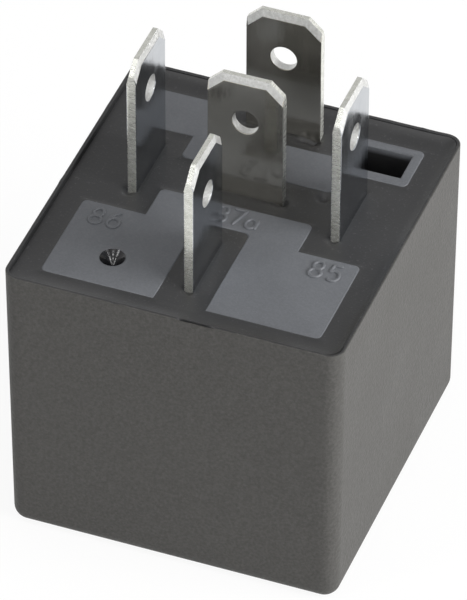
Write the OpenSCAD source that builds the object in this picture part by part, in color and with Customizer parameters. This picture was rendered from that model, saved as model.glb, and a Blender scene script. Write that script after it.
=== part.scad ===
// Five-terminal plug-in relay, sealed, shown standing on its closed end.
// X runs across the front, Y to the rear, Z along the terminal blades.
// The origin is the centre of the flat closed end.

/* [Cover] */
// Width of the cover across the rim
cover_w = 28; // [27.6:0.1:30]
// Depth of the cover at the rim, front to rear
cover_d = 28.8; // [28.4:0.1:31]
// Height of the cover, closed end to rim
cover_h = 25.6; // [25:0.1:28]
// Thickness of the side walls
wall = 1; // [0.8:0.05:1.2]
// Thickness of the lip that the side walls end in, above the sealant
lip_t = 0.3; // [0.2:0.05:0.5]
// Thickness of the closed end
floor_t = 1.2; // [0.8:0.1:1.6]
// How much narrower the cover is at its closed end
draft_w = 0.44; // [0:0.02:0.7]
// How much less deep the cover is at its closed end
draft_d = 0.26; // [0:0.02:0.7]
// Radius of the four upright corners
corner_r = 1.3; // [0.9:0.1:2.5]
// Radius of the edge round the closed end
edge_r = 1.2; // [0.5:0.1:2]

/* [Base] */
// Thickness of the base plate
plate_t = 2.6; // [2.2:0.1:3]
// Clearance between the base and the cover
base_fit = 0.05; // [0.02:0.01:0.15]
// Clearance round a blade in its slot
slot_fit = 0.05; // [0.02:0.01:0.1]
// Half-width of the sealing channel beside a blade
channel = 2.1; // [1.6:0.1:2.3]
// Length of the channel beyond the end of a blade
channel_end = 1.5; // [1:0.1:1.9]
// Extra length of the coil terminals' channels at the front
channel_lead = 1; // [0.4:0.1:1.2]
// Extra length of terminal 87's channel at each end
channel_rear = 0.3; // [0:0.05:0.5]
// Distance from the islands to the cover at the sides
side_margin = 1.4; // [1.2:0.05:1.7]
// Distance from the islands to the cover at the front
front_margin = 1.1; // [0.8:0.05:1.5]
// Distance from the islands to the cover at the rear
rear_margin = 1.4; // [1:0.05:1.5]
// Radius of the islands' corners
island_r = 0.5; // [0.2:0.1:0.9]
// How far the islands stand above the sealant
island_proud = 0.15; // [0.1:0.05:0.3]
// Size across of the rear pocket
pocket_w = 4.5; // [3.5:0.1:4.8]
// Size of the rear pocket front to rear
pocket_d = 2.85; // [2:0.05:3]
// Depth of the rear pocket
pocket_depth = 3; // [1:0.1:3.2]
// Thickness of the collar behind and outside the pocket
pocket_collar = 0.85; // [0.6:0.05:1.1]
// Diameter of the vent's cone at its mouth
vent_d = 2.05; // [1.2:0.05:2.6]
// Diameter of the vent's cone at its bottom
vent_tip_d = 0.2; // [0.1:0.05:0.6]
// Depth of the vent's cone
vent_depth = 0.95; // [0.5:0.05:1.5]
// Distance of the vent from the left edge of its island
vent_x = 4.75; // [3:0.05:6]
// Distance of the vent from the front edge of its island
vent_y = 3.45; // [2:0.05:6]
// Thickness of the ribs that hold the yoke sideways
rib_t = 0.7; // [0.4:0.1:0.8]
// Height of those ribs
rib_h = 1.4; // [0.6:0.1:1.4]
// Distance of the ribs' ends from the yoke's bend and the coil terminals
rib_clear = 0.55; // [0.4:0.05:1]

/* [Sealant] */
// Depth of the sealant's surface below the rim
seal_drop = 0.5; // [0.3:0.05:0.9]
// Thickness of the sealant over the base plate
seal_depth = 1.1; // [0.8:0.05:1.4]
// Clearance between the sealant's edge and the wall
seal_fit = 0.02; // [0.01:0.01:0.05]

/* [Terminals] */
// Width of a blade
blade_w = 6.3; // [6.1:0.05:6.5]
// Thickness of the terminal strip
blade_t = 0.8; // [0.7:0.05:0.9]
// Length of blades 30, 87 and 87a above the sealant
blade_len = 11.6; // [10:0.1:13]
// Length of the coil blades 85 and 86 above the sealant
coil_blade_len = 12.35; // [10:0.05:13]
// Width of the corner cut at a blade's tip
tip_cut_w = 1.15; // [0.6:0.05:1.6]
// Height of the corner cut at a blade's tip
tip_cut_h = 1.1; // [0.6:0.05:1.6]
// Depth of the lead-in bevel on each face
bevel_t = 0.2; // [0.1:0.02:0.3]
// Height of the lead-in bevel
bevel_h = 0.6; // [0.3:0.05:1]
// Diameter of the latching hole
hole_d = 2.2; // [1.6:0.05:2.4]
// Distance of the latching hole below the tip
hole_drop = 4.3; // [3.6:0.05:4.8]
// Distance of blades 85 and 86 from the centre plane
side_x = 8.5; // [8.4:0.05:8.8]
// Centre of blades 85 and 86, to the rear
side_y = 2.65; // [2:0.05:3]
// Centre of blade 87, to the rear
y_87 = 11.05; // [10.9:0.05:11.2]
// Centre of blade 87a, to the rear
y_87a = 2.5; // [2.3:0.05:2.7]
// Centre of blade 30, to the front
y_30 = 7.05; // [6.8:0.05:7.2]
// How far a shoulder stands out beside a blade, under the base
shoulder = 0.5; // [0.3:0.05:0.7]
// Height of the shoulders
shoulder_h = 1.2; // [0.8:0.1:1.4]
// Width of the coil terminals' tails
tail_w = 2.2; // [1.6:0.1:3]
// Length of the coil terminals' tails below the shoulders
tail_len = 3; // [2.4:0.1:4]
// Width of terminal 30's tenon in the yoke
tenon_w = 3.2; // [2.4:0.1:3.4]
// Width of terminal 87's leg and foot
leg_w_87 = 4.8; // [4:0.1:5.6]
// Width of terminal 87a's leg
leg_w_87a = 2.4; // [1.8:0.1:2.6]
// Distance of 87a's leg from the centre plane, at its outer edge
leg_x_87a = 7; // [6.8:0.05:7.1]
// Clearance between 87a's leg and the cover behind it
leg_gap_87a = 0.85; // [0.7:0.05:1]
// Width of 87a's strap under the base
strap_w = 2.4; // [2:0.1:2.8]
// Corner cut of that strap
strap_cut = 1; // [0.4:0.1:1.6]
// Air gap between 87a's strap and the yoke
strap_gap = 0.5; // [0.4:0.05:0.6]
// Distance of the edges of 87a's arm from its contact's centre
arm_half = 2; // [1.8:0.05:2.2]
// Distance of that arm's rear edge behind the contact's centre
arm_back = 1.6; // [1.5:0.05:1.8]
// Corner cuts of that arm
arm_cut = 0.8; // [0.4:0.1:1]
// Distance of 87's front edge from its contact
foot_lip = 0.3; // [0.1:0.05:0.5]
// Inside radius of the bends in the terminals
strip_r = 0.4; // [0.3:0.05:0.5]

/* [Coil] */
// Centre of the coil, to the front
coil_y = 0.9; // [0.8:0.05:1]
// Height of the winding
coil_h = 10.7; // [9.8:0.1:11]
// Outside diameter of the winding
coil_d = 13; // [12:0.1:14.2]
// Pitch of the ridges that the turns show
turn_pitch = 0.42; // [0.3:0.02:0.6]
// Depth of the grooves between the turns
turn_depth = 0.1; // [0.04:0.01:0.15]
// Thickness of the bobbin's flanges
flange_t = 0.8; // [0.6:0.05:1]
// Width of the bobbin's flanges
flange_w = 14.8; // [14.4:0.1:15.4]
// Radius of the flanges' corners
flange_r = 1; // [0.5:0.1:1.6]
// Thickness of the bobbin's barrel
barrel_t = 0.7; // [0.5:0.05:1]
// Diameter of the wire ends, twisted
lead_d = 0.3; // [0.2:0.02:0.4]
// Turns of wire wrapped on a coil terminal
lead_turns = 4; // [2:1:5]
// Distance of the lowest turn from the tail's end
lead_drop = 0.4; // [0.2:0.05:0.6]

/* [Magnet] */
// Diameter of the core
core_d = 6; // [5:0.1:7]
// Diameter of the core's pole face
head_d = 9.4; // [8:0.1:10]
// Thickness of the pole face
head_t = 1.1; // [1:0.05:1.3]
// Diameter of the core's tenon in the yoke
core_tenon_d = 4; // [3:0.1:4.6]
// Clearance of the core in the bobbin
core_fit = 0.05; // [0.02:0.01:0.1]
// Thickness of the yoke
yoke_t = 1.5; // [1.2:0.05:1.6]
// Width of the yoke
yoke_w = 14; // [13.6:0.1:14.2]
// Outer face of the yoke's leg, to the front
yoke_y = 11; // [10.9:0.05:11.1]
// Inside radius of the yoke's bend
yoke_r = 0.5; // [0.4:0.05:0.6]
// Length of yoke behind the core's centre
yoke_tail = 4.3; // [3.6:0.1:4.6]
// Width of each ear beside the armature
ear_w = 0.8; // [0.6:0.05:1]
// Length of the ears
ear_len = 1.5; // [1:0.1:1.6]
// Thickness of the armature
armature_t = 1.3; // [1:0.05:1.4]
// Clearance between the armature and an ear
ear_gap = 0.2; // [0.1:0.05:0.4]
// Distance from the hinge edge to the armature's free end
armature_len = 16.8; // [15.4:0.1:17]
// Width of the armature's free end
armature_tip_w = 7.2; // [6:0.1:9]
// Length over which the armature narrows
armature_taper = 4; // [2:0.2:6]
// Air gap left at the pole when pulled in
stop_gap = 0.05; // [0.03:0.01:0.1]
// Angle the armature falls open at rest
open_angle = 2.6; // [2.2:0.05:2.9]

/* [Contacts] */
// Thickness of the contact spring
leaf_t = 0.25; // [0.15:0.01:0.3]
// Width of the contact spring
leaf_w = 10; // [8:0.1:11]
// Width of the window that makes the spring supple
window_w = 4; // [3:0.1:5]
// Length of that window under the armature
window_len = 2.4; // [1.6:0.1:3]
// Inside radius of the spring's bend
leaf_r = 0.8; // [0.7:0.05:1]
// Length of the spring on the yoke
leaf_h = 9; // [8:0.1:10]
// Width of the spring round its contact
leaf_tip_w = 4; // [3.6:0.1:4.6]
// Length over which the spring narrows
leaf_taper = 3; // [2:0.1:4]
// Distance from there to the armature's free end
leaf_back = 1.6; // [1:0.1:2.4]
// Diameter of the rivets
rivet_d = 1.6; // [1.2:0.05:1.8]
// Diameter of the rivets' heads
rivet_head_d = 2.6; // [2.2:0.05:3]
// Height of the rivets' heads
rivet_head_h = 0.5; // [0.3:0.05:0.6]
// Distance between the rivets
rivet_pitch = 5.6; // [5:0.1:6]
// Distance of the yoke's rivets from the spring's end
rivet_end = 2.2; // [1.8:0.1:2.8]
// Distance of the armature's rivets behind the hinge
rivet_back = 5.4; // [4.6:0.1:6]
// Centre of the contacts, to the rear
contact_y = 9.4; // [9.2:0.05:9.45]
// Diameter of the fixed contacts
contact_d = 3; // [2.4:0.1:3.2]
// Diameter of the moving contact
moving_d = 2.8; // [2.4:0.1:3.2]
// Height of a fixed contact above its terminal
contact_h = 0.5; // [0.4:0.05:0.6]
// Height of the moving contact above each face of the spring
moving_h = 0.55; // [0.4:0.05:0.65]
// Radius of the moving contact's domed faces
dome_r = 8; // [5:0.5:12]
// Diameter of the contacts' shanks
shank_d = 1.2; // [1:0.1:1.4]
// Diameter of the peened end of a fixed contact's shank
peen_d = 1.6; // [1.5:0.05:1.7]
// Height of the peened end
peen_h = 0.2; // [0.1:0.05:0.3]
// Space between closed contacts
touch_gap = 0.05; // [0.03:0.01:0.1]

/* [Hidden] */
$fn = 48;
eps = 0.01;
over = 1;

// Levels, from the rim down to the base, the magnet and the contacts
seal_z = cover_h - seal_drop;
island_z = seal_z + island_proud;
plate_z = seal_z - seal_depth;
under_z = plate_z - plate_t;
yoke_z = under_z - yoke_t;
coil_top = yoke_z - flange_t;
coil_bottom = coil_top - coil_h;
head_z = coil_bottom - flange_t;
pole_z = head_z - head_t;
armature_z = pole_z - stop_gap;
leaf_z = armature_z - armature_t;
tip_z = seal_z + blade_len;
coil_tip_z = seal_z + coil_blade_len;

// Inside of the cover at a height z: half-widths that follow the draft
function taper(z) = (cover_h - z) / cover_h / 2;
function inner_x(z) = cover_w / 2 - wall - draft_w * taper(z);
function inner_y(z) = cover_d / 2 - wall - draft_d * taper(z);

// Inside corner radius of the cover, never smaller than a moulding tool leaves
least_r = 0.3;
inner_r = max(corner_r - wall, least_r);
base_r = inner_r + 4 * base_fit;

// Outline of the islands
island_x = inner_x(cover_h) - side_margin;
island_front = -inner_y(cover_h) + front_margin;
island_rear = inner_y(cover_h) - rear_margin;
shelf_front = side_y - blade_w / 2 - channel_end - channel_lead;
shelf_rear = side_y + blade_w / 2 + channel_end;
rear_channel_x = blade_w / 2 + channel_end + channel_rear;

// Hinge line of the armature, and the spring's bend round it
yoke_in = -yoke_y + yoke_t;
hinge_y = -yoke_y + leaf_r;
hinge_z = (pole_z + armature_z) / 2;
bend_z = hinge_z + (leaf_z - hinge_z + leaf_r) / cos(open_angle);
bend_y = hinge_y - (bend_z - hinge_z) * sin(open_angle);

// Fixed contacts: 87 above the moving contact when pulled in, 87a below it at rest
top_87 = leaf_z + moving_h + touch_gap;
foot_87 = top_87 + contact_h;
reach = contact_y - hinge_y;
low_face = leaf_z - leaf_t - moving_h;
low_rest = hinge_z - reach * sin(open_angle) + (low_face - hinge_z) * cos(open_angle);
top_87a = low_rest - touch_gap;
arm_87a = top_87a - contact_h;

// Where the strap of 87a lies in the underside of the base, and its leg beside the cover
strap_z = under_z + strap_gap;
strap_y = y_87a + blade_t / 2 + strip_r;
leg_y_87a = inner_y(0) - leg_gap_87a - blade_t;

flange_front = yoke_in + yoke_r;
flange_d = 2 * (-coil_y - flange_front);
armature_w = yoke_w - 2 * (ear_w + ear_gap);
rivet_z = bend_z + leaf_h - rivet_end;
rivet_y = hinge_y + rivet_back;

// Rectangle with round corners, from one corner to the other
module round_rect(x0, y0, x1, y1, r) {
    translate([x0 + r, y0]) square([x1 - x0 - 2 * r, y1 - y0]);
    translate([x0, y0 + r]) square([x1 - x0, y1 - y0 - 2 * r]);
    for (x = [x0 + r, x1 - r], y = [y0 + r, y1 - r]) translate([x, y]) circle(r);
}

// Box that widens towards the rim, with round upright corners and a round lower edge
module drafted_box(x_top, y_top, x_low, y_low, z_low, z_top, r_corner, r_edge) {
    hull() {
        for (sx = [-1, 1], sy = [-1, 1]) {
            translate([sx * (x_low - r_edge), sy * (y_low - r_edge), z_low + r_edge]) sphere(r_edge);
            translate([sx * (x_top - r_corner), sy * (y_top - r_corner), z_top - eps])
                cylinder(r = r_corner, h = eps);
        }
        translate([r_edge - x_low, r_edge - y_low, z_low])
            cube([2 * (x_low - r_edge), 2 * (y_low - r_edge), eps]);
    }
}

// Bent strip from x0 to x1, of one outline in the YZ plane
module strip(x0, x1, outline) {
    translate([x0, 0, 0]) rotate([90, 0, 90]) linear_extrude(x1 - x0) polygon(outline);
}

// Straight round rod between two points
module rod(p, q, d) {
    v = q - p;
    translate(p) rotate([0, acos(v[2] / norm(v)), atan2(v[1], v[0])]) cylinder(d = d, h = norm(v));
}

// Turns what rides on the armature down to its rest position
module at_rest() {
    translate([0, hinge_y, hinge_z]) rotate([-open_angle, 0, 0]) translate([0, -hinge_y, -hinge_z])
        children();
}

// The same turn for a point in the YZ plane
function rest_point(y, z) = [
    hinge_y + (y - hinge_y) * cos(open_angle) + (z - hinge_z) * sin(open_angle),
    hinge_z - (y - hinge_y) * sin(open_angle) + (z - hinge_z) * cos(open_angle)
];

// Points on an arc in the YZ plane, from angle a0 to a1, for the bends of a strip
function arc_points(y, z, r, a0, a1, steps = 12) =
    [for (i = [0 : steps]) let (a = a0 + (a1 - a0) * i / steps) [y + r * cos(a), z + r * sin(a)]];

// Raised islands of the base: a broad one in front, one between the blades and two rear corners
module island_outline() {
    side = side_x - channel;
    difference() {
        union() {
            round_rect(-island_x, island_front, island_x, shelf_front, island_r);
            round_rect(-side, island_front, side, y_87a - channel, island_r);
        }
        round_rect(-channel, island_front - over, channel, -y_30 + blade_w / 2 + channel_end, island_r);
    }
    round_rect(-side, y_87a + channel, side, y_87 - channel, island_r);
    for (s = [-1, 1]) {
        x0 = min(s * island_x, s * rear_channel_x);
        round_rect(x0, shelf_rear, x0 + island_x - rear_channel_x, island_rear, island_r);
        x1 = min(s * side, s * rear_channel_x);
        translate([x1, shelf_rear]) square([side - rear_channel_x, y_87 - channel - shelf_rear]);
    }
}

// Flat blade in the XZ plane with cut corners, lead-in bevels and a latching hole
module blade(z_low, z_tip) {
    h = blade_w / 2;
    difference() {
        rotate([90, 0, 0]) linear_extrude(blade_t, center = true) polygon([
            [-h, z_low], [h, z_low], [h, z_tip - tip_cut_h], [h - tip_cut_w, z_tip],
            [tip_cut_w - h, z_tip], [-h, z_tip - tip_cut_h]
        ]);
        translate([0, 0, z_tip - hole_drop]) rotate([90, 0, 0])
            cylinder(d = hole_d, h = blade_t + over, center = true);
        translate([0, 0, z_tip]) lead_in();
        for (s = [-1, 1])
            translate([s * (h - tip_cut_w / 2), 0, z_tip - tip_cut_h / 2])
                rotate([0, s * atan2(tip_cut_h, tip_cut_w), 0]) lead_in();
    }
}

// Cutter for the bevels on both faces of a strip whose end lies at z = 0
module lead_in() {
    for (s = [0, 180])
        rotate([90, 0, 90 + s]) translate([0, 0, -blade_w]) linear_extrude(2 * blade_w) polygon([
            [blade_t / 2, -bevel_h], [blade_t / 2 - 2 * bevel_t, bevel_h],
            [blade_t / 2 + over, bevel_h], [blade_t / 2 + over, -bevel_h]
        ]);
}

// Space inside the cover's upper edge: it flares from the base plate up to the sealant's surface
module flare(fit, z_top) {
    low_r = inner_r - fit;
    lip_r = low_r + wall - lip_t;
    x = inner_x(plate_z) - inner_r;
    y = inner_y(plate_z) - inner_r;
    hull() {
        for (sx = [-1, 1], sy = [-1, 1]) translate([sx * x, sy * y, plate_z]) {
            cylinder(r1 = low_r, r2 = lip_r, h = seal_z - plate_z);
            if (z_top > seal_z)
                translate([0, 0, seal_z - plate_z]) cylinder(r = lip_r, h = z_top - seal_z);
        }
    }
}

// Cup-shaped cover
module cover() {
    color("#4a4947") difference() {
        drafted_box(cover_w / 2, cover_d / 2, (cover_w - draft_w) / 2, (cover_d - draft_d) / 2,
            0, cover_h, corner_r, edge_r);
        drafted_box(inner_x(plate_z), inner_y(plate_z), inner_x(0), inner_y(0),
            floor_t, plate_z, inner_r, max(edge_r - wall, least_r));
        flare(0, cover_h + over);
    }
}

// Slot through the base plate for a blade whose width runs along X
module blade_slot() {
    translate([-blade_w / 2 - slot_fit, -blade_t / 2 - slot_fit, under_z - over])
        cube([blade_w + 2 * slot_fit, blade_t + 2 * slot_fit, plate_t + 2 * over]);
}

// Places what is drawn for a blade across X at each of the five terminals
module at_terminals() {
    translate([0, -y_30, 0]) rotate([0, 0, 90]) children();
    for (s = [-1, 1]) translate([s * side_x, side_y, 0]) rotate([0, 0, 90]) children();
    for (y = [y_87a, y_87]) translate([0, y, 0]) children();
}

// Moulded base with its islands, pocket, vent and ribs
module base() {
    bx = inner_x(under_z) - base_fit;
    by = inner_y(under_z) - base_fit;
    rib_front = flange_front + rib_clear;
    rib_rear = side_y - blade_w / 2 - shoulder - rib_clear;
    color("#626366") difference() {
        union() {
            translate([0, 0, under_z]) linear_extrude(plate_t) round_rect(-bx, -by, bx, by, base_r);
            translate([0, 0, plate_z - eps]) linear_extrude(island_z - plate_z + eps) island_outline();
            for (s = [-1, 1])
                translate([s * (yoke_w / 2 + base_fit + rib_t / 2) - rib_t / 2, rib_front, under_z - rib_h])
                    cube([rib_t, rib_rear - rib_front, rib_h + eps]);
        }
        at_terminals() blade_slot();
        strap_groove();
        translate([island_x - pocket_collar - pocket_w, island_rear - pocket_collar - pocket_d,
            island_z - pocket_depth])
            cube([pocket_w, pocket_d, pocket_depth + over]);
        translate([vent_x - island_x, island_front + vent_y, island_z - vent_depth])
            cylinder(d1 = vent_tip_d, d2 = vent_d, h = vent_depth + eps);
    }
}

// Space in the underside of the base for the strap of 87a and its two bends
module strap_groove() {
    x_out = -leg_x_87a - slot_fit;
    z_low = under_z - over;
    z_top = strap_z + blade_t + slot_fit;
    y_front = y_87a - blade_t / 2 - slot_fit;
    translate([x_out, y_front, z_low])
        cube([leg_x_87a + blade_w / 2 + 2 * slot_fit, strap_w + 2 * strip_r + blade_t, z_top - z_low]);
    translate([x_out, y_front, z_low])
        cube([leg_w_87a + 2 * slot_fit, leg_y_87a + blade_t - y_front + 2 * slot_fit, z_top - z_low]);
    translate([-blade_w / 2 - slot_fit, y_front, z_low])
        cube([blade_w + 2 * slot_fit, blade_t + strip_r + slot_fit, z_top + strip_r - z_low]);
}

// Potting compound round the islands, flowing up to the cover
module epoxy_seal() {
    color("#444446") difference() {
        flare(seal_fit, seal_z);
        translate([0, 0, plate_z - over]) linear_extrude(seal_depth + 2 * over) island_outline();
        at_terminals() translate([-blade_w / 2, -blade_t / 2, plate_z - over])
            cube([blade_w, blade_t, seal_depth + 2 * over]);
    }
}

// Terminal 30: blade with a tenon staked through the yoke
module terminal_30() {
    color("#c9c9c6") translate([0, -y_30, 0]) rotate([0, 0, 90]) {
        blade(under_z, tip_z);
        translate([-tenon_w / 2, -blade_t / 2, yoke_z]) cube([tenon_w, blade_t, yoke_t + eps]);
    }
}

// Terminal of the coil: blade, shoulders under the base and a tail for the wire
module coil_terminal(side) {
    color("#c9c9c6") translate([side * side_x, side_y, 0]) rotate([0, 0, 90]) {
        blade(under_z - eps, coil_tip_z);
        translate([-blade_w / 2 - shoulder, -blade_t / 2, under_z - shoulder_h])
            cube([blade_w + 2 * shoulder, blade_t, shoulder_h]);
        translate([-tail_w / 2, -blade_t / 2, under_z - shoulder_h - tail_len])
            cube([tail_w, blade_t, tail_len + eps]);
    }
}

// Terminal 85, on the right
module terminal_85() {
    coil_terminal(1);
}

// Terminal 86, on the left
module terminal_86() {
    coil_terminal(-1);
}

// Terminal 87: a leg runs down behind the coil to a foot that holds the open contact
module terminal_87() {
    y_in = y_87 - blade_t / 2;
    bend_y_87 = y_in - strip_r;
    bend_top = foot_87 + blade_t + strip_r;
    foot_front = contact_y - contact_d / 2 - foot_lip;
    color("#c9c9c6") {
        translate([0, y_87, 0]) blade(under_z - eps, tip_z);
        translate([-blade_w / 2 - shoulder, y_in, under_z - shoulder_h])
            cube([blade_w + 2 * shoulder, blade_t, shoulder_h]);
        difference() {
            strip(-leg_w_87 / 2, leg_w_87 / 2, concat(
                [[y_in, under_z], [y_in + blade_t, under_z]],
                arc_points(bend_y_87, bend_top, strip_r + blade_t, 0, -90),
                [[foot_front, foot_87], [foot_front, foot_87 + blade_t]],
                arc_points(bend_y_87, bend_top, strip_r, -90, 0)
            ));
            shank_hole(foot_87);
        }
    }
}

// Hole for a fixed contact's shank, in a strip whose lower face is at height z
module shank_hole(z) {
    translate([0, contact_y, z - over]) cylinder(d = shank_d, h = blade_t + 2 * over);
}

// Terminal 87a: its strap runs under the base to the rear, then a leg to the closed contact's arm
module terminal_87a() {
    h = blade_w / 2;
    x_out = -leg_x_87a;
    x_in = leg_w_87a - leg_x_87a;
    y_in = y_87a + blade_t / 2;
    strap_rear = strap_y + strap_w;
    bend_low = strap_z + blade_t + strip_r;
    leg_bend = leg_y_87a - strip_r;
    leg_top = strap_z - strip_r;
    arm_top = arm_87a + strip_r;
    arm_front = contact_y - arm_half;
    arm_rear = contact_y + arm_back;
    color("#c9c9c6") {
        translate([0, y_87a, 0]) blade(bend_low, tip_z);
        strip(-h, h, concat(
            [[y_in, under_z + plate_t], [y_in - blade_t, under_z + plate_t]],
            arc_points(strap_y, bend_low, strip_r + blade_t, 180, 270),
            [[strap_rear, strap_z], [strap_rear, strap_z + blade_t]],
            arc_points(strap_y, bend_low, strip_r, 270, 180)
        ));
        translate([0, 0, strap_z]) linear_extrude(blade_t) polygon([
            [h, strap_y], [h, strap_rear], [x_in, strap_rear], [x_in, leg_bend],
            [x_out, leg_bend], [x_out, strap_y + strap_cut], [x_out + strap_cut, strap_y]
        ]);
        strip(x_out, x_in, concat(
            [[strap_rear, strap_z], [strap_rear, strap_z + blade_t]],
            arc_points(leg_bend, leg_top, strip_r + blade_t, 90, 0),
            arc_points(leg_bend, arm_top, strip_r + blade_t, 0, -90),
            [[arm_rear, arm_87a - blade_t], [arm_rear, arm_87a]],
            arc_points(leg_bend, arm_top, strip_r, -90, 0),
            arc_points(leg_bend, leg_top, strip_r, 0, 90)
        ));
        difference() {
            translate([0, 0, arm_87a - blade_t]) linear_extrude(blade_t) polygon([
                [x_in, leg_bend], [x_out, leg_bend], [x_out, arm_front + arm_cut], [x_in, arm_front],
                [arm_half - arm_cut, arm_front], [arm_half, arm_front + arm_cut],
                [arm_half, arm_rear - arm_cut / 2], [arm_half - arm_cut / 2, arm_rear], [x_in, arm_rear]
            ]);
            shank_hole(arm_87a - blade_t);
        }
    }
}

// Bobbin: a barrel between two flanges
module bobbin() {
    bore = core_d + 2 * core_fit;
    h = coil_h + 2 * flange_t;
    color("#d8d2bd") difference() {
        union() {
            for (z = [head_z, coil_top])
                translate([0, 0, z]) linear_extrude(flange_t)
                    round_rect(-flange_w / 2, flange_front, flange_w / 2, flange_front + flange_d, flange_r);
            translate([0, -coil_y, head_z + eps]) cylinder(d = bore + 2 * barrel_t, h = h - 2 * eps);
        }
        translate([0, -coil_y, head_z - over]) cylinder(d = bore, h = h + 2 * over);
    }
}

// Copper winding, its outside ribbed by the turns
module coil_winding() {
    r_in = core_d / 2 + core_fit + barrel_t;
    turns = floor(coil_h / turn_pitch);
    pitch = coil_h / turns;
    ridges = [for (i = [0 : turns - 1], k = [0, 1])
        [coil_d / 2 - (1 - k) * turn_depth, (i + k / 2) * pitch]];
    color("#b4622f") translate([0, -coil_y, coil_bottom]) rotate_extrude()
        polygon(concat([[r_in, 0]], ridges, [[coil_d / 2 - turn_depth, coil_h], [r_in, coil_h]]));
}

// Wire end: from the winding to a coil terminal's tail, where it is wrapped
module coil_lead(side) {
    tail_low = under_z - shoulder_h - tail_len;
    a = atan2(side_y + coil_y, side_x);
    start_r = coil_d / 2 + lead_d / 2;
    wx = blade_t / 2 + lead_d / 2 + eps;
    wy = tail_w / 2 + lead_d / 2 + eps;
    wrap_z = tail_low + lead_drop + lead_d / 2;
    color("#c8783c") {
        rod([side * start_r * cos(a), start_r * sin(a) - coil_y, coil_top - lead_d],
            [side * (side_x - wx), side_y, wrap_z + (lead_turns - 1) * lead_d], lead_d);
        for (i = [0 : lead_turns - 1])
            translate([side * side_x, side_y, wrap_z + i * lead_d]) wrap_turn(wx, wy);
    }
}

// One turn of wire round a tail, as four rods with round corners
module wrap_turn(wx, wy) {
    d = lead_d + eps;
    for (s = [-1, 1]) {
        rod([s * wx, -wy, 0], [s * wx, wy, 0], d);
        rod([-wx, s * wy, 0], [wx, s * wy, 0], d);
        for (x = [-wx, wx]) translate([x, s * wy, 0]) sphere(d = d);
    }
}

// Wire end on terminal 85
module coil_lead_85() {
    coil_lead(1);
}

// Wire end on terminal 86
module coil_lead_86() {
    coil_lead(-1);
}

// Iron core: pole face, shank and the tenon riveted in the yoke
module core() {
    color("#9a9b9d") translate([0, -coil_y, pole_z]) {
        cylinder(d = head_d, h = head_t);
        cylinder(d = core_d, h = yoke_z - pole_z);
        cylinder(d = core_tenon_d, h = under_z - pole_z);
    }
}

// Folded steel yoke with two ears that keep the armature in place
module yoke() {
    bend_in = yoke_in + yoke_r;
    leg_top = yoke_z - yoke_r;
    y_end = yoke_tail - coil_y;
    color("#a8a9a6") difference() {
        union() {
            strip(-yoke_w / 2, yoke_w / 2, concat(
                [[yoke_in, pole_z], [-yoke_y, pole_z]],
                arc_points(bend_in, leg_top, yoke_r + yoke_t, 180, 90),
                [[y_end, yoke_z + yoke_t], [y_end, yoke_z]],
                arc_points(bend_in, leg_top, yoke_r, 90, 180)
            ));
            for (s = [-1, 1])
                translate([s * (yoke_w - ear_w) / 2 - ear_w / 2, -yoke_y, pole_z - ear_len])
                    cube([ear_w, yoke_t, ear_len + eps]);
        }
        translate([0, -coil_y, yoke_z - over]) cylinder(d = core_tenon_d, h = yoke_t + 2 * over);
        translate([-blade_t / 2, -y_30 - tenon_w / 2, yoke_z - over])
            cube([blade_t, tenon_w, yoke_t + 2 * over]);
        for (s = [-1, 1])
            translate([s * rivet_pitch / 2, -yoke_y - over, rivet_z]) rotate([-90, 0, 0])
                cylinder(d = rivet_d, h = yoke_t + 2 * over);
    }
}

// Armature plate, drawn pulled in and turned down to rest
module armature() {
    w = armature_w / 2;
    tip = armature_tip_w / 2;
    y_end = hinge_y + armature_len;
    color("#a2a3a0") at_rest() difference() {
        translate([0, 0, leaf_z]) linear_extrude(armature_t) polygon([
            [-w, hinge_y + stop_gap], [w, hinge_y + stop_gap], [w, y_end - armature_taper],
            [tip, y_end], [-tip, y_end], [-w, y_end - armature_taper]
        ]);
        for (s = [-1, 1])
            translate([s * rivet_pitch / 2, rivet_y, leaf_z - over])
                cylinder(d = rivet_d, h = armature_t + 2 * over);
    }
}

// Contact spring: flat on the yoke, bent round the hinge and flat under the armature
module contact_spring() {
    half = leaf_w / 2;
    tip = leaf_tip_w / 2;
    y_wide = hinge_y + armature_len - leaf_back;
    y_narrow = y_wide - leaf_taper;
    y_end = contact_y + tip + over;
    bend_end = 270 - open_angle;
    color("#c08a4a") difference() {
        strip(-half, half, concat(
            [[-yoke_y - leaf_t, bend_z + leaf_h]],
            arc_points(hinge_y, bend_z, leaf_r + leaf_t, 180, bend_end),
            [rest_point(y_end, leaf_z - leaf_t), rest_point(y_end, leaf_z)],
            arc_points(hinge_y, bend_z, leaf_r, bend_end, 180),
            [[-yoke_y, bend_z + leaf_h]]
        ));
        translate([-window_w / 2, -yoke_y - leaf_t - over, 0])
            cube([window_w, bend_y + window_len + yoke_y + leaf_t + over, bend_z + leaf_h / 2]);
        for (s = [-1, 1])
            translate([s * rivet_pitch / 2, -yoke_y - leaf_t - over, rivet_z]) rotate([-90, 0, 0])
                cylinder(d = rivet_d, h = leaf_t + 2 * over);
        at_rest() translate([0, 0, leaf_z - leaf_t - over]) linear_extrude(leaf_t + 2 * over) {
            for (s = [-1, 1]) translate([s * rivet_pitch / 2, rivet_y]) circle(d = rivet_d);
            translate([0, contact_y]) circle(d = shank_d);
            difference() {
                translate([-half - over, y_narrow]) square([leaf_w + 2 * over, y_end - y_narrow + over]);
                polygon([
                    [-half, y_narrow - over], [half, y_narrow - over], [half, y_narrow], [tip, y_wide],
                    [tip, contact_y], [-tip, contact_y], [-tip, y_wide], [-half, y_narrow]
                ]);
                translate([0, contact_y]) circle(tip);
            }
        }
    }
}

// Rivet along Z with its head below z = 0 and a shank of length len above
module rivet(len) {
    translate([0, 0, -rivet_head_h])
        cylinder(d1 = rivet_head_d - rivet_head_h, d2 = rivet_head_d, h = rivet_head_h);
    cylinder(d = rivet_d, h = len);
}

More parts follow.
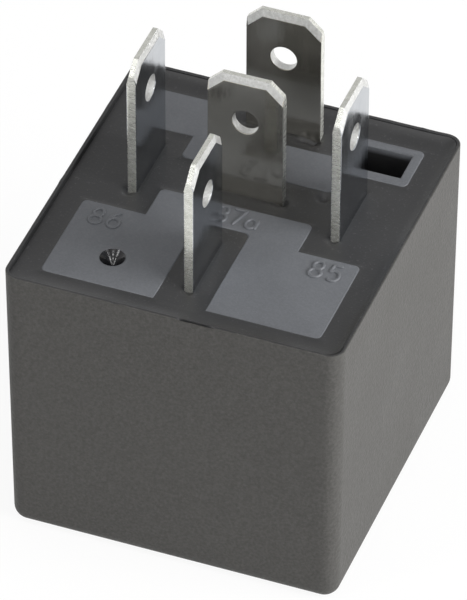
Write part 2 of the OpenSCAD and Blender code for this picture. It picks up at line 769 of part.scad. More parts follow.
// Two rivets that fix the spring to the yoke
module yoke_rivets() {
    color("#b9bab8") for (s = [-1, 1])
        translate([s * rivet_pitch / 2, -yoke_y - leaf_t, rivet_z]) rotate([-90, 0, 0])
            rivet(leaf_t + yoke_t);
}

// Two rivets that fix the spring to the armature
module armature_rivets() {
    color("#b9bab8") at_rest() for (s = [-1, 1])
        translate([s * rivet_pitch / 2, rivet_y, leaf_z - leaf_t]) rivet(leaf_t + armature_t - 2 * stop_gap);
}

// Moving contact: a domed head on each face of the spring
module moving_contact() {
    color("#d7d8d4") at_rest() translate([0, contact_y, leaf_z - leaf_t]) {
        cylinder(d = shank_d, h = leaf_t);
        translate([0, 0, leaf_t]) domed_head();
        rotate([180, 0, 0]) domed_head();
    }
}

// Domed head of the moving contact, its flat side at z = 0
module domed_head() {
    steps = 6;
    dome = [for (k = [steps : -1 : 0]) let (x = moving_d / 2 * k / steps)
        [x, moving_h - dome_r + sqrt(dome_r * dome_r - x * x)]];
    rotate_extrude() polygon(concat([[0, 0], [moving_d / 2, 0]], dome));
}

// Fixed contact with its face at z = 0, pointing down, and its shank through a strip above
module fixed_contact() {
    cylinder(d = contact_d, h = contact_h);
    cylinder(d = shank_d, h = contact_h + blade_t);
    translate([0, 0, contact_h + blade_t]) cylinder(d1 = peen_d, d2 = peen_d - peen_h, h = peen_h);
}

// Normally open contact, facing down from terminal 87
module contact_87() {
    color("#d7d8d4") translate([0, contact_y, top_87]) fixed_contact();
}

// Normally closed contact, facing up from terminal 87a
module contact_87a() {
    color("#d7d8d4") translate([0, contact_y, top_87a]) rotate([180, 0, 0]) fixed_contact();
}

cover();
base();
epoxy_seal();
terminal_30();
terminal_85();
terminal_86();
terminal_87();
terminal_87a();
bobbin();
coil_winding();
coil_lead_85();
coil_lead_86();
core();
yoke();
armature();
contact_spring();
yoke_rivets();
armature_rivets();
moving_contact();
contact_87();
contact_87a();
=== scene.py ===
import bmesh
import bpy
import numpy as np
from mathutils import Matrix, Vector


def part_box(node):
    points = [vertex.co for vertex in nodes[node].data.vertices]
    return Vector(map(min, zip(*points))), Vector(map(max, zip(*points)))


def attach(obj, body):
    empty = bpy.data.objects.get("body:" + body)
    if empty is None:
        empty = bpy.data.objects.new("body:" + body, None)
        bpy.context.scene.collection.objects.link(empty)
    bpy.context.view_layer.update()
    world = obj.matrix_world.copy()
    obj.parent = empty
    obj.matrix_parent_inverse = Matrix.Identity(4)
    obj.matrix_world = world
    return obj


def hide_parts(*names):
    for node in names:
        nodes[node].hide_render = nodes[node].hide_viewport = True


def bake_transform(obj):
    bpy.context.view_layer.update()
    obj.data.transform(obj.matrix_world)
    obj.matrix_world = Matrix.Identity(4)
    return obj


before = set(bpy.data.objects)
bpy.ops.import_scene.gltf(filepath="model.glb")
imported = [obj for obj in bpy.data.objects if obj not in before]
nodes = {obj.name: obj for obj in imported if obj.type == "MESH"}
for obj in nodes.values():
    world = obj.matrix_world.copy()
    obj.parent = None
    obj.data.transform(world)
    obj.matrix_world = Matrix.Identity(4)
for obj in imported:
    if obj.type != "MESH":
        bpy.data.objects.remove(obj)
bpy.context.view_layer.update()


def linear(hex_code):
    """Linear RGBA of an sRGB hex colour: c / 12.92 up to 0.04045, and ((c + 0.055) / 1.055) ** 2.4 above."""
    c = np.array([int(hex_code[k:k + 2], 16) for k in (1, 3, 5)]) / 255
    c = np.where(c <= 0.04045, c / 12.92, ((c + 0.055) / 1.055) ** 2.4)
    return (float(c[0]), float(c[1]), float(c[2]), 1.0)


def add_node(tree, kind, inputs=None, **settings):
    """Adds one node: the settings are its properties, and an input is a value or the socket it links from."""
    made = tree.nodes.new(kind)
    for key, value in settings.items():
        setattr(made, key, value)
    for key, value in (inputs or {}).items():
        if isinstance(value, bpy.types.NodeSocket):
            tree.links.new(value, made.inputs[key])
        else:
            made.inputs[key].default_value = value
    return made


# The sheet is paper: fully rough and nearly white. A camera ray sees most of it as plain white,
# and the rest keeps the relay's shadow.
paper = bpy.data.materials.new("white_paper")
paper.use_nodes = True
paper.node_tree.nodes.clear()
paper_light = add_node(paper.node_tree, "ShaderNodeLightPath")
paper_rough = add_node(paper.node_tree, "ShaderNodeBsdfDiffuse", {"Color": linear("#efefee")})
paper_white = add_node(paper.node_tree, "ShaderNodeEmission", {"Color": (1, 1, 1, 1), "Strength": 1.0})
paper_seen = add_node(paper.node_tree, "ShaderNodeMath", {0: paper_light.outputs["Is Camera Ray"],
                      1: paper_light.outputs["Is Glossy Ray"]}, operation="MAXIMUM")
paper_share = add_node(paper.node_tree, "ShaderNodeMath", {0: paper_seen.outputs[0], 1: 0.9},
                       operation="MULTIPLY")
paper_mix = add_node(paper.node_tree, "ShaderNodeMixShader",
                     {0: paper_share.outputs[0], 1: paper_rough.outputs[0], 2: paper_white.outputs[0]})
add_node(paper.node_tree, "ShaderNodeOutputMaterial", {"Surface": paper_mix.outputs[0]})

sheet_mesh = bpy.data.meshes.new("sheet")
sheet_mesh.from_pydata([(-3, -3, 0), (3, -3, 0), (3, 3, 0), (-3, 3, 0)], [], [(0, 1, 2, 3)])
sheet_mesh.materials.append(paper)
sheet = bpy.data.objects.new("sheet", sheet_mesh)
bpy.context.scene.collection.objects.link(sheet)

world = bpy.data.worlds.new("soft_room")
bpy.context.scene.world = world
world.use_nodes = True
world.node_tree.nodes.clear()
# The room is evenly lit, white where the camera sees it, and in reflections white at the horizon and
# grey overhead.
room_path = add_node(world.node_tree, "ShaderNodeLightPath")
room_way = add_node(world.node_tree, "ShaderNodeTexCoord")
room_up = add_node(world.node_tree, "ShaderNodeSeparateXYZ", {0: room_way.outputs["Generated"]})
room_glow = add_node(world.node_tree, "ShaderNodeMapRange",
                     {"Value": room_up.outputs[2], 1: 0.05, 2: 0.55, 3: 1.0, 4: 0.52})
room_gloss = add_node(world.node_tree, "ShaderNodeMix", {0: room_path.outputs["Is Glossy Ray"], 2: 0.4,
                      3: room_glow.outputs[0]})
room_level = add_node(world.node_tree, "ShaderNodeMix", {0: room_path.outputs["Is Camera Ray"],
                      2: room_gloss.outputs[0], 3: 1.0})
room_mix = add_node(world.node_tree, "ShaderNodeBackground", {"Color": (1, 1, 1, 1),
                    "Strength": room_level.outputs[0]})
add_node(world.node_tree, "ShaderNodeOutputWorld", {"Surface": room_mix.outputs[0]})

for lamp_name, lamp_at, lamp_size, lamp_power in (
        ("right_lamp", (0.62, -0.05, 0.30), 0.5, 7.5),
        ("top_lamp", (-0.10, -0.15, 0.70), 0.6, 1.0),
        ("left_catch_light", (-0.42, -0.50, 0.62), 0.14, 0.7),
        ("right_catch_light", (0.16, -0.66, 0.62), 0.14, 0.7)):
    lamp = bpy.data.lights.new(lamp_name, "AREA")
    lamp.size = lamp_size
    lamp.energy = lamp_power
    lamp_object = bpy.data.objects.new(lamp_name, lamp)
    away = np.array(lamp_at) - (0, 0, 0.02)
    away = away / np.linalg.norm(away)
    across = np.cross((0, 0, 1), away)
    across = across / np.linalg.norm(across)
    turn = np.eye(4)
    turn[:3, :3] = np.column_stack([across, np.cross(away, across), away])
    turn[:3, 3] = lamp_at
    lamp_object.matrix_world = Matrix(turn.tolist())
    bpy.context.scene.collection.objects.link(lamp_object)

# A long lens half a metre away, looking down 40.5 degrees from 20.7 degrees right of the front.
azimuth, elevation, roll = np.radians((20.6987, 40.5282, 0.1411))
view_back = np.array([np.sin(azimuth) * np.cos(elevation), -np.cos(azimuth) * np.cos(elevation),
                      np.sin(elevation)])
view_right = np.array([np.cos(azimuth), np.sin(azimuth), 0])
view_up = np.cross(view_back, view_right)
view_turn = np.eye(4)
view_turn[:3, 0] = np.cos(roll) * view_right + np.sin(roll) * view_up
view_turn[:3, 1] = np.cos(roll) * view_up - np.sin(roll) * view_right
view_turn[:3, 2] = view_back
view_turn[:3, 3] = np.array([-0.0002504, 0, 0.0158796]) + view_back * 0.538288
camera_data = bpy.data.cameras.new("camera")
camera_data.sensor_width = 36
camera_data.lens = 407.557
camera_data.shift_x = 0.0022
camera_data.shift_y = -0.00097
camera_data.clip_start = 0.02
camera = bpy.data.objects.new("camera", camera_data)
camera.matrix_world = Matrix(view_turn.tolist())
bpy.context.scene.collection.objects.link(camera)
bpy.context.scene.camera = camera
bpy.context.scene.view_settings.view_transform = "Standard"


# Cover: a deep square cup, injection moulded in glass-filled polyester, closed end down.
# Its walls draft outwards to the open edge, whose thin lip holds the sealant, and small
# beads of resin and flash sit along that edge.
def node_box(name):
    """Lowest and highest corner of a solid of the frame, in mm."""
    low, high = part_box(name)
    return np.array(low) * 1000, np.array(high) * 1000


def new_finish(name, **values):
    """A material whose Principled shader holds the values; gives it, its tree, shader and place in mm."""
    made = bpy.data.materials.new(name)
    made.use_nodes = True
    tree = made.node_tree
    shader = tree.nodes["Principled BSDF"]
    for key, value in values.items():
        shader.inputs[key.replace("_", " ")].default_value = value
    place = add_node(tree, "ShaderNodeTexCoord")
    place_mm = add_node(tree, "ShaderNodeMapping", {"Vector": place.outputs["Object"], "Scale": (1000,) * 3})
    return made, tree, shader, place_mm.outputs[0]


def grid_quads(rows, columns, wrap_rows=False, wrap_columns=True):
    """Four-sided faces between neighbours of a grid of points; a wrapped direction joins end to start."""
    r = np.arange(rows if wrap_rows else rows - 1)[:, None]
    c = np.arange(columns if wrap_columns else columns - 1)[None, :]
    r1, c1 = (r + 1) % rows, (c + 1) % columns
    quads = np.stack([r * columns + c, r * columns + c1, r1 * columns + c1, r1 * columns + c], -1)
    return quads.reshape(-1, 4)


def shell(points, wrap_rows=False, wrap_columns=True, tags=None):
    """A closed skin from a grid of points (rows, columns, 3): its open first and last rows get a flat cap."""
    rows, columns = points.shape[:2]
    faces = grid_quads(rows, columns, wrap_rows, wrap_columns)
    last_row = (rows - 1) * columns
    caps = [] if wrap_rows else [list(range(columns))[::-1], list(range(last_row, last_row + columns))]
    tags = np.zeros(len(faces), int) if tags is None else np.ravel(tags)
    points = points.reshape(-1, 3)
    a, b, c, d = (points[faces[:, k]] for k in range(4))
    volume = (np.cross(a, b) * c).sum() + (np.cross(a, c) * d).sum()
    for cap in caps:
        rim = points[cap]
        volume += (np.cross(rim[1:-1], rim[2:]) @ rim[0]).sum()
    if volume < 0:
        faces, caps = faces[:, ::-1], [cap[::-1] for cap in caps]
    return points, faces.tolist() + caps, list(tags) + [0] * len(caps)


def make_piece(name, shells, finishes, crease=35):
    """One mesh, in metres, of one or more skins given in mm, smooth but for edges sharper than the crease."""
    points = np.concatenate([s[0] for s in shells]) / 1000
    faces, tags, first = [], [], 0
    for skin in shells:
        faces += [[k + first for k in face] for face in skin[1]]
        tags += skin[2]
        first += len(skin[0])
    mesh = bpy.data.meshes.new(name)
    mesh.from_pydata(points, [], faces)
    for finish in finishes:
        mesh.materials.append(finish)
    mesh.polygons.foreach_set("material_index", np.array(tags, np.int32))
    mesh.polygons.foreach_set("use_smooth", np.ones(len(faces), bool))
    mesh.set_sharp_from_angle(angle=np.radians(crease))
    mesh.update()
    made = bpy.data.objects.new(name, mesh)
    bpy.context.scene.collection.objects.link(made)
    return made


def rounded_loop(side_steps, corner_steps):
    """Round-cornered loop: each point's share of the corner centre, -1 to 1 on both axes, and its
    direction out. A point of a loop with half-sizes h and radius r is share * (h - r) + direction * r."""
    share, out = [], []
    for k, corner in enumerate([(1, 1), (-1, 1), (-1, -1), (1, -1)]):
        angle = np.radians(np.linspace(0, 90, corner_steps) + 90 * k)
        share.append(np.tile(corner, (corner_steps, 1)))
        out.append(np.column_stack([np.cos(angle), np.sin(angle)]))
        after = np.array([(-1, 1), (-1, -1), (1, -1), (1, 1)][k])
        f = np.linspace(0, 1, side_steps + 2)[1:-1, None]
        share.append(np.array(corner) * (1 - f) + after * f)
        out.append(np.tile([np.cos(angle[-1]), np.sin(angle[-1])], (side_steps, 1)))
    return np.concatenate(share), np.concatenate(out)


def hump(points, centre, size):
    """Height of a round bump: exp(-d2 / (2 size2)), where d is the distance to its centre."""
    away = points - np.asarray(centre)
    return np.exp(-(away ** 2).sum(-1) / (2 * size ** 2))


cover_low, cover_high = node_box("cover")
seal_z = node_box("epoxy_seal")[1][2]
plate_z = node_box("epoxy_seal")[0][2]
half = cover_high[:2]
draft = np.array([0.22, 0.13])
corner_r, edge_r, wall, lip = 1.3, 1.2, 1.0, 0.3
floor_z, top_z = 1.2, cover_high[2]
quarter = np.radians(np.linspace(0, 90, 9))
# Each row is (inset from the drafted outer wall, height), from the middle of the closed end outside,
# up the wall, over the lip and down the inside to the middle of the floor.
lip_round = 0.05
profile = np.concatenate([
    np.column_stack([np.linspace(12.5, edge_r + 0.3, 12), np.zeros(12)]),
    np.column_stack([edge_r * (1 - np.sin(quarter)), edge_r * (1 - np.cos(quarter))]),
    np.column_stack([np.zeros(34), np.linspace(edge_r + 0.5, top_z - 0.3, 34)]),
    np.array([[0, top_z - 0.15], [0, top_z - lip_round], [0.3 * lip_round, top_z - 0.3 * lip_round],
              [lip_round, top_z], [0.1, top_z], [0.13, top_z], [0.17, top_z], [0.21, top_z],
              [lip - lip_round, top_z],
              [lip - 0.3 * lip_round, top_z - 0.3 * lip_round], [lip, top_z - lip_round],
              [lip, top_z - 0.2], [lip, seal_z + 0.1], [lip, seal_z], [wall, plate_z], [wall, plate_z - 0.3],
              [wall, 12], [wall, floor_z + 0.4], [wall + 0.12, floor_z + 0.12], [wall + 0.4, floor_z],
              [4, floor_z], [8, floor_z], [12.5, floor_z]])])
inset, height = profile[:, 0], profile[:, 1]
share, out = rounded_loop(150, 15)
reach = half - draft * ((top_z - height) / top_z)[:, None] - inset[:, None]
radius = np.maximum(corner_r - inset, 0.3)[:, None, None]
plan = share * (reach[:, None, :] - radius) + out * radius
cup = np.dstack([plan, np.broadcast_to(height[:, None], plan.shape[:2])]).copy()
# The front and rear walls bow out a little between their corners.
outer = (inset < 0.01)[:, None] & (np.abs(out[:, 1]) > 0.999)
bow = 0.07 * (1 - (plan[:, :, 0] / half[0]) ** 2) * np.sin(np.pi * np.clip(height / top_z, 0, 1))[:, None]
cup[:, :, 1] += np.where(outer, bow * np.sign(out[:, 1]), 0)
# Beads and nicks along the lip: place, size, rise and push outwards, all in mm.
edge_marks = [
    (6.3, -14.2, 0.35, 0.05, 0.03), (7.6, -14.25, 0.28, 0.06, 0.02), (12.0, -14.2, 0.3, 0.07, 0.02),
    (-4.6, -14.3, 0.22, -0.10, -0.02), (-3.7, -14.3, 0.22, 0.07, 0.03), (2.0, -14.4, 0.5, 0.03, 0.03),
    (5.6, -14.33, 0.12, 0.09, 0.04), (6.1, -14.33, 0.10, 0.08, 0.05), (7.0, -14.33, 0.12, 0.09, 0.04),
    (8.1, -14.33, 0.10, 0.07, 0.05), (11.3, -14.33, 0.12, 0.09, 0.05), (12.5, -14.33, 0.10, 0.08, 0.04),
    (-2.9, -14.33, 0.10, 0.06, 0.04), (-9.2, -14.33, 0.10, 0.04, 0.03), (10.1, -14.33, 0.09, 0.06, 0.04),
    (13.85, 6.1, 0.2, 0.07, 0.0), (13.85, 2.0, 0.15, 0.05, 0.02), (13.8, -9.5, 0.2, 0.05, 0.02),
    (-13.9, -2.0, 0.25, 0.03, 0.02), (-13.8, 8.0, 0.25, 0.04, 0.0)]
chance = np.random.default_rng(11)
for along in np.concatenate([chance.uniform(-13, 13, 34), chance.uniform(-13, 13, 18)]):
    at_rear = chance.random() < 0.55
    spot = (along, 14.25) if at_rear else (13.85, along)
    rise = chance.uniform(-0.02, 0.03) if at_rear else chance.uniform(-0.03, 0.06)
    edge_marks.append((*spot, chance.uniform(0.08, 0.2), rise, chance.uniform(-0.01, 0.02)))
near_lip = np.clip((height - (top_z - 0.35)) / 0.25, 0, 1)[:, None] * (inset < 0.6)[:, None]
for mark_x, mark_y, size, rise, push in edge_marks:
    mark = hump(cup[:, :, :2], (mark_x, mark_y), size) * near_lip
    cup[:, :, 2] += rise * mark
    cup[:, :, :2] += push * mark[:, :, None] * out

# A short slit where the front lip has sprung away from the resin.
slit = np.exp(-(((cup[:, :, 0] - 2.1) / 1.3) ** 4) - ((cup[:, :, 1] + 14.27) / 0.07) ** 2)
cup[:, :, 2] -= 0.45 * slit * near_lip

# Glass-filled polyester from a spark-eroded mould: dark grey, dull, with a grain of 0.15 to 0.3 mm.
cover_plastic, tree, shader, place = new_finish("moulded_polyester", IOR=1.55, Specular_IOR_Level=0.2)
cloud = add_node(tree, "ShaderNodeTexNoise", {"Vector": place, "Scale": 0.12, "Detail": 4.0,
                                              "Roughness": 0.55})
grain = add_node(tree, "ShaderNodeTexNoise", {"Vector": place, "Scale": 4.0, "Detail": 3.0,
                                              "Roughness": 0.65})
fleck = add_node(tree, "ShaderNodeTexVoronoi", {"Vector": place, "Scale": 3.2})
tint = add_node(tree, "ShaderNodeMix", {0: cloud.outputs[0], 6: linear("#3c3b39"), 7: linear("#454442")},
                data_type="RGBA")
speck = add_node(tree, "ShaderNodeMapRange", {"Value": grain.outputs[0], 1: 0.35, 2: 0.7, 3: 0.0, 4: 0.35})
grained = add_node(tree, "ShaderNodeMix", {0: speck.outputs[0], 6: tint.outputs[2], 7: linear("#605f5d")},
                   data_type="RGBA")
tree.links.new(grained.outputs[2], shader.inputs["Base Color"])
dull = add_node(tree, "ShaderNodeMapRange", {"Value": cloud.outputs[0], 1: 0.3, 2: 0.7, 3: 0.5, 4: 0.6})
tree.links.new(dull.outputs[0], shader.inputs["Roughness"])
relief = add_node(tree, "ShaderNodeMath", {0: grain.outputs[0], 1: fleck.outputs["Distance"]},
                  operation="ADD")
bump = add_node(tree, "ShaderNodeBump", {"Height": relief.outputs[0], "Strength": 0.6, "Distance": 0.00004})
tree.links.new(bump.outputs[0], shader.inputs["Normal"])

wetted = np.zeros((len(inset) - 1, len(share)), int)
wetted[(inset[:-1] >= 0.1) & (inset[:-1] < 0.9) & (height[:-1] > 20)] = 1
cover = make_piece("cover_shell", [shell(cup, tags=wetted)], [cover_plastic])
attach(cover, "housing")
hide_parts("cover")


# Base: a plate moulded in the same kind of plastic, pressed into the cup. Its islands stand out of
# the sealant with softly rounded edges, and hold the vent's funnel and a small core-out at the rear.
def merged_copy(node, name):
    """A solid's mesh with its loose triangles merged at 1 micrometre and its flat faces joined again."""
    made = bpy.data.objects.new(name, nodes[node].data.copy())
    bpy.context.scene.collection.objects.link(made)
    work = bmesh.new()
    work.from_mesh(made.data)
    bmesh.ops.remove_doubles(work, verts=work.verts, dist=1e-6)
    bmesh.ops.dissolve_limit(work, angle_limit=np.radians(0.4), verts=work.verts, edges=work.edges)
    return made, work


base, work = merged_copy("base", "base_plate")
island_z = node_box("base")[1][2]
crest = [edge for edge in work.edges if len(edge.link_faces) == 2
         and min(v.co.z for v in edge.verts) > (island_z - 0.01) / 1000
         and edge.calc_face_angle(0) > np.radians(25)]
bmesh.ops.bevel(work, geom=crest, offset=0.00014, segments=4, profile=0.5, affect="EDGES", clamp_overlap=True)
work.to_mesh(base.data)
work.free()
base.data.polygons.foreach_set("use_smooth", np.ones(len(base.data.polygons), bool))
base.data.set_sharp_from_angle(angle=np.radians(30))

# The same polyester with a finer grain, a shade cooler and lighter than the cup.
base_plastic, tree, shader, place = new_finish("moulded_polyester_fine", IOR=1.55)
cloud = add_node(tree, "ShaderNodeTexNoise", {"Vector": place, "Scale": 0.35, "Detail": 3.0})
grain = add_node(tree, "ShaderNodeTexNoise", {"Vector": place, "Scale": 6.0, "Detail": 3.0, "Roughness": 0.7})
tint = add_node(tree, "ShaderNodeMix", {0: cloud.outputs[0], 6: linear("#4e5054"), 7: linear("#585a5e")},
                data_type="RGBA")
speck = add_node(tree, "ShaderNodeMapRange", {"Value": grain.outputs[0], 1: 0.4, 2: 0.7, 3: 0.0, 4: 0.4})
grained = add_node(tree, "ShaderNodeMix", {0: speck.outputs[0], 6: tint.outputs[2], 7: linear("#6c6e72")},
                   data_type="RGBA")
# Painted shade: the walls below the islands' tops darken to nearly black from 0.25 to 0.7 mm down, as the
# core-out and the deep walls lie in shade; the tops keep the grained colour.
depth = add_node(tree, "ShaderNodeSeparateXYZ", {0: place})
recess_shade_share = add_node(tree, "ShaderNodeMapRange", {"Value": depth.outputs[2], 1: island_z - 0.7,
                                                2: island_z - 0.25, 3: 0.0, 4: 1.0})
# painted shade: nearly black low on the walls, the grained colour at the tops
recess_shaded = add_node(tree, "ShaderNodeMix", {0: recess_shade_share.outputs[0], 6: linear("#141415"), 7: grained.outputs[2]},
                  data_type="RGBA")
tree.links.new(recess_shaded.outputs[2], shader.inputs["Base Color"])
dull = add_node(tree, "ShaderNodeMapRange", {"Value": grain.outputs[0], 1: 0.3, 2: 0.7, 3: 0.45, 4: 0.6})
tree.links.new(dull.outputs[0], shader.inputs["Roughness"])
bump = add_node(tree, "ShaderNodeBump", {"Height": grain.outputs[0], "Strength": 0.5, "Distance": 0.00003})
tree.links.new(bump.outputs[0], shader.inputs["Normal"])
base.data.materials.clear()
base.data.materials.append(base_plastic)
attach(base, "housing")
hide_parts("base")


# Terminal numbers: plain raised strokes on the islands beside the blades, moulded in one with the
# base. Each stroke is a low rounded ridge, 0.3 mm wide and 0.14 mm high.
def stroke(line, closed=False):
    """A round-topped ridge: an ellipse, 0.3 by 0.28 mm, carried half sunk along a line on the islands."""
    line = np.asarray(line, float)
    step = np.roll(line, -1, 0) - np.roll(line, 1, 0) if closed else np.gradient(line, axis=0)
    side = np.column_stack([-step[:, 1], step[:, 0]]) / np.linalg.norm(step, axis=1)[:, None]
    turn = np.radians(np.arange(0, 360, 30))
    size = np.ones(len(line)) if closed else np.r_[0.55, np.ones(len(line) - 2), 0.55]
    plan = line[:, None, :] + side[:, None, :] * (0.15 * size[:, None] * np.cos(turn))[:, :, None]
    rise = island_z + 0.14 * size[:, None] * np.sin(turn)
    return shell(np.dstack([plan, rise]), wrap_rows=closed)


def arc(centre, size, start, end, steps=24):
    """Points of an ellipse's arc: centre + size * (cos, sin), from the start to the end angle in degrees."""
    angle = np.radians(np.linspace(start, end, steps))
    return np.asarray(centre) + np.column_stack([np.cos(angle), np.sin(angle)]) * size


def straight(*corners):
    """A line through its corners, with eight points on each stretch."""
    parts = [np.linspace(a, b, 8, endpoint=False) for a, b in zip(corners, corners[1:])]
    return np.concatenate(parts + [[corners[-1]]])


round_turn = (0, 360 * 23 / 24)
# Each digit is a list of (line, closed), about 1 unit wide and 1 unit high.
digits = {
    "8": [(arc((0.5, 0.75), (0.38, 0.25), *round_turn), True),
          (arc((0.5, 0.26), (0.46, 0.26), *round_turn), True)],
    "7": [(straight((0.0, 1.0), (0.95, 1.0), (0.38, 0.0)), False)],
    "6": [(arc((0.5, 0.3), (0.46, 0.3), *round_turn), True),
          (arc((0.95, 0.3), (0.91, 0.72), 178, 100), False)],
    "5": [(straight((0.9, 1.0), (0.18, 1.0), (0.1, 0.52)), False),
          (arc((0.45, 0.32), (0.47, 0.32), 140, -140), False)],
    "a": [(arc((0.45, 0.3), (0.4, 0.3), *round_turn), True), (straight((0.9, 0.62), (0.9, 0.0)), False)]}
digit_size = (1.05, 1.85)
marks = []
for text, text_x, text_y, pitch in (("86", -10.35, -5.55, 1.5), ("87a", -1.3, -1.85, 1.3),
                                    ("85", 7.95, -5.5, 1.5)):
    for k, letter in enumerate(text):
        for line, closed in digits[letter]:
            marks.append(stroke(line * digit_size + (text_x + pitch * k, text_y), closed))
numbers = make_piece("terminal_numbers", marks, [base_plastic])
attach(numbers, "housing")


# Vent: the funnel that is sealed last, with a drop of black resin that wets its cone to a gloss.
# The coat lies 0.03 mm proud of the funnel, which narrows from mouth_r to tip_r over vent_deep.
mouth_r, tip_r, vent_deep, coat = 1.025, 0.1, 0.95, 0.03
vent_x, vent_y = -6.85, -8.85
turn = np.radians(np.arange(0, 360, 6))
cone_r = np.linspace(1, 0, 9) + 0.005
cone_z = island_z + coat - vent_deep * (mouth_r - cone_r) / (mouth_r - tip_r)
cone_z = np.concatenate([cone_z, cone_z[::-1] - 2 * coat])
cone_r = np.concatenate([cone_r, cone_r[::-1]])
cone = np.stack([vent_x + cone_r[:, None] * np.cos(turn), vent_y + cone_r[:, None] * np.sin(turn),
                 np.broadcast_to(cone_z[:, None], (len(cone_r), len(turn)))], -1)
# Epoxy resin, cured glossy: black, smooth.
vent_resin, tree, shader, place = new_finish("glossy_resin", IOR=1.55, Base_Color=linear("#121214"))
ripple = add_node(tree, "ShaderNodeTexNoise", {"Vector": place, "Scale": 1.5, "Detail": 2.0})
gloss = add_node(tree, "ShaderNodeMapRange", {"Value": ripple.outputs[0], 3: 0.1, 4: 0.22})
tree.links.new(gloss.outputs[0], shader.inputs["Roughness"])
bump = add_node(tree, "ShaderNodeBump", {"Height": ripple.outputs[0], "Strength": 0.4, "Distance": 0.0001})
tree.links.new(bump.outputs[0], shader.inputs["Normal"])
vent = make_piece("vent_resin", [shell(cone, wrap_rows=True)], [vent_resin])
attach(vent, "housing")


# Sealant: epoxy poured round the islands and blades and cured satin. It climbs a little at each
# wall, and has small pits where air escaped beside the blades.
def box_distance(x, y, x0, y0, x1, y1):
    """Signed distance to a rectangle: how far outside it a point is, or minus how far inside."""
    dx, dy = np.maximum(x0 - x, x - x1), np.maximum(y0 - y, y - y1)
    return np.hypot(np.maximum(dx, 0), np.maximum(dy, 0)) + np.minimum(np.maximum(dx, dy), 0)


pool_half = half - lip - 0.025
pool_r = 1.0
columns, rows = 222, 228
x, y = np.meshgrid(np.linspace(-pool_half[0], pool_half[0], columns),
                   np.linspace(-pool_half[1], pool_half[1], rows))
over_x, over_y = np.abs(x) - (pool_half[0] - pool_r), np.abs(y) - (pool_half[1] - pool_r)
spread = np.hypot(np.maximum(over_x, 0), np.maximum(over_y, 0))
pull = np.where((over_x > 0) & (over_y > 0) & (spread > pool_r), pool_r / np.maximum(spread, 1e-9), 1)
x = np.where(pull < 1, np.sign(x) * (pool_half[0] - pool_r + over_x * pull), x)
y = np.where(pull < 1, np.sign(y) * (pool_half[1] - pool_r + over_y * pull), y)
channel_30 = box_distance(x, y, -2.1, -13, 2.1, -2.4)
islands = np.minimum.reduce([
    np.maximum(box_distance(x, y, -11.6, -12.3, 11.6, -3.0), -channel_30),
    np.maximum(box_distance(x, y, -6.4, -12.3, 6.4, 0.4), -channel_30),
    box_distance(x, y, -6.4, 4.6, 6.4, 8.95),
    box_distance(x, y, -11.6, 7.3, -4.95, 12.0), box_distance(x, y, 4.95, 7.3, 11.6, 12.0)])
blade_feet = np.minimum.reduce([
    box_distance(x, y, -0.4, -10.2, 0.4, -3.9), box_distance(x, y, -8.9, -0.5, -8.1, 5.8),
    box_distance(x, y, 8.1, -0.5, 8.9, 5.8), box_distance(x, y, -3.15, 10.65, 3.15, 11.45),
    box_distance(x, y, -3.15, 2.1, 3.15, 2.9)])
front_wall, rear_wall = y + pool_half[1], pool_half[1] - y
side_wall = pool_half[0] - np.abs(x)
# Each rise is height * exp(-distance / reach), in mm: at the islands, the blades and the four walls.
level = seal_z + 0.08 * np.exp(-np.maximum(islands, 0) / 0.22)
level -= 0.12 * np.exp(-np.maximum(blade_feet, 0) / 0.2)
level += 0.40 * np.exp(-front_wall / 0.8) + 0.40 * np.exp(-rear_wall / 0.6)
level += np.where(x > 0, 0.38, 0.05) * np.exp(-side_wall / 0.5)
# Pits: place, size and depth.
pits = [(2.7, 10.35, 0.32, 0.55), (1.9, 10.3, 0.25, 0.35), (5.9, 3.9, 0.3, 0.25), (-8.7, -0.65, 0.3, 0.3),
        (0.0, -10.35, 0.28, 0.26), (8.4, -0.65, 0.26, 0.26), (-2.8, 1.95, 0.2, 0.12), (3.25, 2.2, 0.24, 0.25)]
for pit_x, pit_y, size, deep in pits:
    level -= deep * hump(np.dstack([x, y]), (pit_x, pit_y), size)
chance = np.random.default_rng(5)
for wave_x, wave_y, size, rise in zip(chance.uniform(-13, 13, 60), chance.uniform(-14, 14, 60),
                                      chance.uniform(0.4, 1.6, 60), chance.uniform(-0.02, 0.02, 60)):
    level += rise * hump(np.dstack([x, y]), (wave_x, wave_y), size)
# The skin is the cells outside the islands, the same cells below, and a wall along each open edge.
pool_top = np.dstack([x, y, level]).reshape(-1, 3)
pool_low = pool_top * (*((pool_half - 0.68) / pool_half), 0) + (0, 0, plate_z + 0.04)
cells = grid_quads(rows, columns, wrap_columns=False)
poured = (islands.reshape(-1)[cells].mean(1) > -0.25).reshape(rows - 1, columns - 1)
framed = np.pad(poured, 1)
cells = cells.reshape(rows - 1, columns - 1, 4)
walls = [cells[poured & ~beside][:, pair] for beside, pair in (
    (framed[:-2, 1:-1], (0, 1)), (framed[1:-1, 2:], (1, 2)),
    (framed[2:, 1:-1], (2, 3)), (framed[1:-1, :-2], (3, 0)))]
walls = np.concatenate(walls)
below = len(pool_top)
walls = np.column_stack([walls[:, 1], walls[:, 0], walls[:, 0] + below, walls[:, 1] + below])
pool_faces = np.concatenate([cells[poured], cells[poured][:, ::-1] + below, walls])
used, renumbered = np.unique(pool_faces, return_inverse=True)
pool = (np.concatenate([pool_top, pool_low])[used], renumbered.reshape(-1, 4).tolist(), [0] * len(pool_faces))

